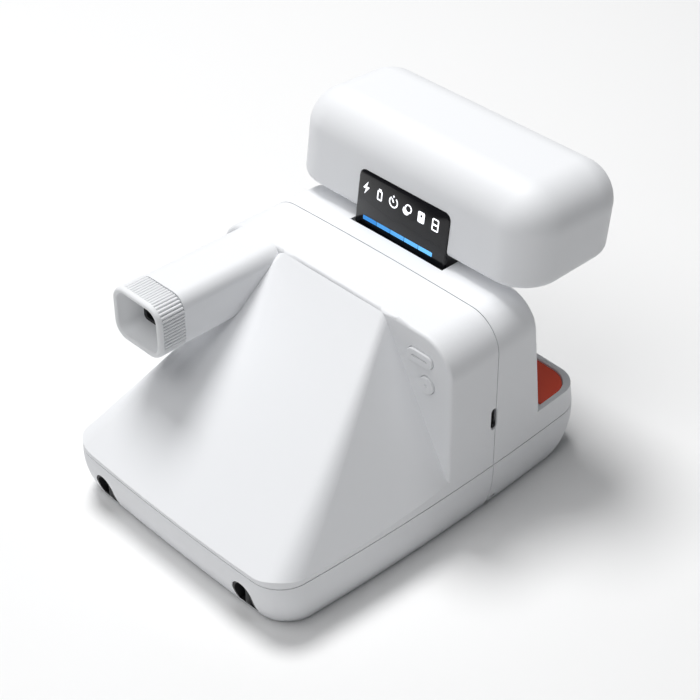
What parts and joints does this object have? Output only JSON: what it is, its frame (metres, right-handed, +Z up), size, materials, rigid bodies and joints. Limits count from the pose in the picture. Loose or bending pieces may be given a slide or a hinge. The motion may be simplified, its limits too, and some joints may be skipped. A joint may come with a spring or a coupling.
{
  "type": "instant camera",
  "caption": "Instant film camera with a flip-up flash lid, rear display, tunnel viewfinder, mirror housing and drop-down film door.",
  "frame": {"origin": "on the flat underside, on the mid plane, half way along the base", "axes": "+Z up, -Y is where the lens looks, +X is the side of the viewfinder tunnel"},
  "size_m": [0.1108, 0.1552, 0.1127],
  "materials": {
    "white_shell": "fine matte moulded plastic, cool white",
    "white_cup": "soft matte elastomer, white",
    "black_plastic": "matte black moulded plastic",
    "gloss_black": "polished black",
    "red_button": "satin red",
    "clear_glass": "clear coated glass",
    "mirror_glass": "front-silvered",
    "steel": "brushed",
    "brass": "satin",
    "reflector": "polished",
    "board_green": "solder mask",
    "chip_black": "moulded epoxy",
    "cell_foil": "foil pouch",
    "can_black": "sleeved can",
    "film_sheet": "film sheet",
    "gear_white": "acetal"
  },
  "bodies": {
    "camera_body": {"rear_upper_shell": "white_shell", "front_upper_shell": "white_shell", "rear_lower_shell": "white_shell", "eyecup": "white_cup", "eyepiece_lens": "clear_glass", "finder_window": "clear_glass", "finder_objective": "clear_glass", "lens_panel": "gloss_black", "lens_ring": "black_plastic", "front_lens": "clear_glass", "light_sensor": "gloss_black", "shutter_housing": "black_plastic", "turret_motor": "steel", "light_cone": "black_plastic", "mirror": "mirror_glass", "film_cartridge": "black_plastic", "film_stack": "film_sheet", "pack_spring": "steel", "main_board": "board_green", "board_parts": "chip_black", "battery": "cell_foil", "flash_capacitor": "can_black", "drive_motor": "steel", "shutter_switch": "board_green", "usb_socket": "steel", "strap_lugs": "black_plastic", "hinge_cradle": "black_plastic", "lid_hinge_pin": "steel", "door_hinge_pins": "steel", "body_screws": "steel"},
    "lid": {"lid_shell": "white_shell", "lid_face_panel": "gloss_black", "flash_window": "clear_glass", "flash_reflector": "reflector", "flash_tube": "clear_glass", "sonar_disc": "brass", "status_lamp": "clear_glass", "flash_board": "board_green", "hinge_arm": "black_plastic", "display_window": "gloss_black", "display_module": "gloss_black"},
    "door": {"film_door": "white_shell", "roller_frame": "black_plastic"},
    "lower_roller": {"lower_roller": "steel"},
    "upper_roller": {"upper_roller": "steel"},
    "drive_pinion": {"drive_pinion": "gear_white"},
    "lens_turret": {"lens_turret": "gear_white", "turret_lenses": "clear_glass"},
    "turret_pinion": {"turret_pinion": "gear_white"},
    "shutter_blade": {"shutter_blade": "steel"},
    "shutter_button": {"shutter_button": "red_button"},
    "power_button": {"power_button": "white_shell"},
    "timer_button": {"timer_button": "white_shell"},
    "door_latch": {"door_latch": "white_shell"}
  },
  "joints": [
    {"name": "lid_hinge", "type": "hinge", "parent": "camera_body", "child": "lid", "pos_m": [0, -0.03445, 0.07337], "axis": [1, 0, 0], "range_deg": [0, 83]},
    {"name": "film_door_hinge", "type": "hinge", "parent": "camera_body", "child": "door", "pos_m": [0, -0.0246, 0.0026], "axis": [1, 0, 0], "range_deg": [0, 70]},
    {"name": "lower_roller_spin", "type": "hinge", "parent": "door", "child": "lower_roller", "pos_m": [0, -0.0615, 0.0092], "axis": [1, 0, 0], "continuous": true},
    {"name": "upper_roller_spin", "type": "hinge", "parent": "door", "child": "upper_roller", "pos_m": [0, -0.0615, 0.0163], "axis": [1, 0, 0], "continuous": true},
    {"name": "drive_pinion_spin", "type": "hinge", "parent": "camera_body", "child": "drive_pinion", "pos_m": [0, -0.0615, 0.0227], "axis": [1, 0, 0], "continuous": true},
    {"name": "lens_turret_turn", "type": "hinge", "parent": "camera_body", "child": "lens_turret", "pos_m": [0.012, -0.035, 0.047], "axis": [0, 1, 0], "continuous": true},
    {"name": "turret_pinion_spin", "type": "hinge", "parent": "camera_body", "child": "turret_pinion", "pos_m": [0.0331, -0.035, 0.047], "axis": [0, 1, 0], "continuous": true},
    {"name": "shutter_blade_swing", "type": "hinge", "parent": "camera_body", "child": "shutter_blade", "pos_m": [-0.01, -0.0293, 0.058], "axis": [0, 1, 0], "range_deg": [0, 50]},
    {"name": "shutter_button_press", "type": "slide", "parent": "camera_body", "child": "shutter_button", "axis": [0, 0, -1], "range_m": [0, 0.0012], "stiffness_N_per_m": 1000},
    {"name": "power_button_press", "type": "slide", "parent": "camera_body", "child": "power_button", "axis": [0, -1, 0], "range_m": [0, 0.0005], "stiffness_N_per_m": 2000},
    {"name": "timer_button_press", "type": "slide", "parent": "camera_body", "child": "timer_button", "axis": [0, -1, 0], "range_m": [0, 0.0005], "stiffness_N_per_m": 2000},
    {"name": "door_latch_slide", "type": "slide", "parent": "camera_body", "child": "door_latch", "axis": [0, 1, 0], "range_m": [0, 0.0025], "stiffness_N_per_m": 400}
  ],
  "couplings": [
    {"joint": "upper_roller_spin", "follows": "lower_roller_spin", "ratio": -1},
    {"joint": "drive_pinion_spin", "follows": "lower_roller_spin", "ratio": 1.25},
    {"joint": "turret_pinion_spin", "follows": "lens_turret_turn", "ratio": -4}
  ]
}
